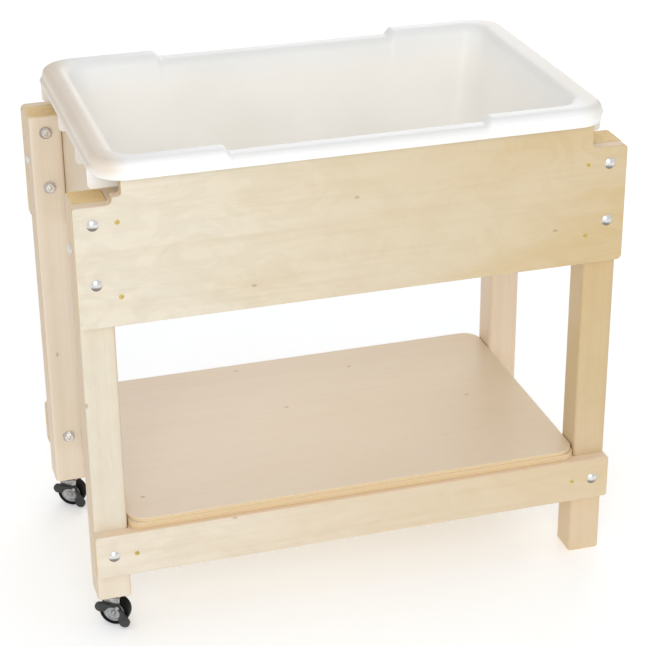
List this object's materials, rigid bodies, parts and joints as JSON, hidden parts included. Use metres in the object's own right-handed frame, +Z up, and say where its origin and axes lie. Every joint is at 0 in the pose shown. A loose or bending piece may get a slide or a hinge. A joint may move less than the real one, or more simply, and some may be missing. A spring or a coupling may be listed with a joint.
{
  "type": "sand and water table",
  "caption": "Wooden frame on two fixed feet and two locking swivel casters, holding a lift-out white plastic tub by its rim, with a bottom shelf and a loose board on it.",
  "frame": {"origin": "middle of the footprint on the floor", "axes": "+Z up, +X along the long side towards the fixed feet, +Y to the back"},
  "size_m": [0.9202, 0.536, 0.851],
  "materials": {
    "birch_ply": "satin clear lacquer on birch plywood",
    "leg_wood": "satin clear lacquer on laminated birch plywood",
    "lid_ply": "satin clear lacquer on thin plywood",
    "tub_plastic": "white translucent polyethylene, satin",
    "zinc_steel": "bright zinc plated",
    "yellow_steel": "yellow zinc plated",
    "hub_plastic": "grey moulded nylon",
    "tyre_rubber": "black rubber",
    "lever_plastic": "black moulded plastic"
  },
  "bodies": {
    "frame": {"front_apron": "birch_ply", "back_apron": "birch_ply", "left_end_apron": "birch_ply", "right_end_apron": "birch_ply", "front_left_leg": "leg_wood", "back_left_leg": "leg_wood", "front_right_leg": "leg_wood", "back_right_leg": "leg_wood", "front_rail": "birch_ply", "back_rail": "birch_ply", "left_end_rail": "birch_ply", "right_end_rail": "birch_ply", "shelf_board": "birch_ply", "apron_bolts": "zinc_steel", "apron_washers": "zinc_steel", "apron_nuts": "zinc_steel", "rail_bolts": "zinc_steel", "rail_washers": "zinc_steel", "rail_nuts": "zinc_steel", "end_bolts": "zinc_steel", "end_washers": "zinc_steel", "end_nuts": "zinc_steel", "apron_screws": "yellow_steel", "rail_screws": "yellow_steel", "shelf_screws": "yellow_steel", "front_caster_socket": "zinc_steel", "front_caster_stem": "zinc_steel", "front_caster_race": "zinc_steel", "back_caster_socket": "zinc_steel", "back_caster_stem": "zinc_steel", "back_caster_race": "zinc_steel"},
    "tub": {"tub": "tub_plastic"},
    "lid": {"lid_board": "lid_ply"},
    "front_fork": {"front_caster_fork": "zinc_steel", "front_caster_balls": "zinc_steel", "front_caster_axle": "zinc_steel", "front_caster_nut": "zinc_steel", "front_caster_brake_pin": "zinc_steel"},
    "front_wheel": {"front_caster_hub": "hub_plastic", "front_caster_tyre": "tyre_rubber"},
    "front_brake": {"front_caster_brake": "lever_plastic"},
    "back_fork": {"back_caster_fork": "zinc_steel", "back_caster_balls": "zinc_steel", "back_caster_axle": "zinc_steel", "back_caster_nut": "zinc_steel", "back_caster_brake_pin": "zinc_steel"},
    "back_wheel": {"back_caster_hub": "hub_plastic", "back_caster_tyre": "tyre_rubber"},
    "back_brake": {"back_caster_brake": "lever_plastic"}
  },
  "joints": [
    {"name": "front_caster_swivel", "type": "hinge", "parent": "frame", "child": "front_fork", "pos_m": [-0.427, -0.2075, 0.0265], "axis": [0, 0, 1], "continuous": true},
    {"name": "front_wheel_spin", "type": "hinge", "parent": "front_fork", "child": "front_wheel", "pos_m": [-0.42351, -0.20946, 0.0265], "axis": [0.4909, 0.8712, 0], "continuous": true},
    {"name": "front_brake_lever", "type": "hinge", "parent": "front_fork", "child": "front_brake", "pos_m": [-0.41524, -0.21413, 0.04], "axis": [0.4909, 0.8712, 0], "range_deg": [-8, 6]},
    {"name": "back_caster_swivel", "type": "hinge", "parent": "frame", "child": "back_fork", "pos_m": [-0.427, 0.2075, 0.0265], "axis": [0, 0, 1], "continuous": true},
    {"name": "back_wheel_spin", "type": "hinge", "parent": "back_fork", "child": "back_wheel", "pos_m": [-0.42351, 0.20554, 0.0265], "axis": [0.4909, 0.8712, 0], "continuous": true},
    {"name": "back_brake_lever", "type": "hinge", "parent": "back_fork", "child": "back_brake", "pos_m": [-0.41524, 0.20087, 0.04], "axis": [0.4909, 0.8712, 0], "range_deg": [-8, 6]},
    {"name": "tub_lift", "type": "slide", "parent": "frame", "child": "tub", "axis": [0, 0, 1], "range_m": [0, 0.25]},
    {"name": "lid_slide", "type": "slide", "parent": "frame", "child": "lid", "axis": [0, -1, 0], "range_m": [0, 0.35]}
  ]
}
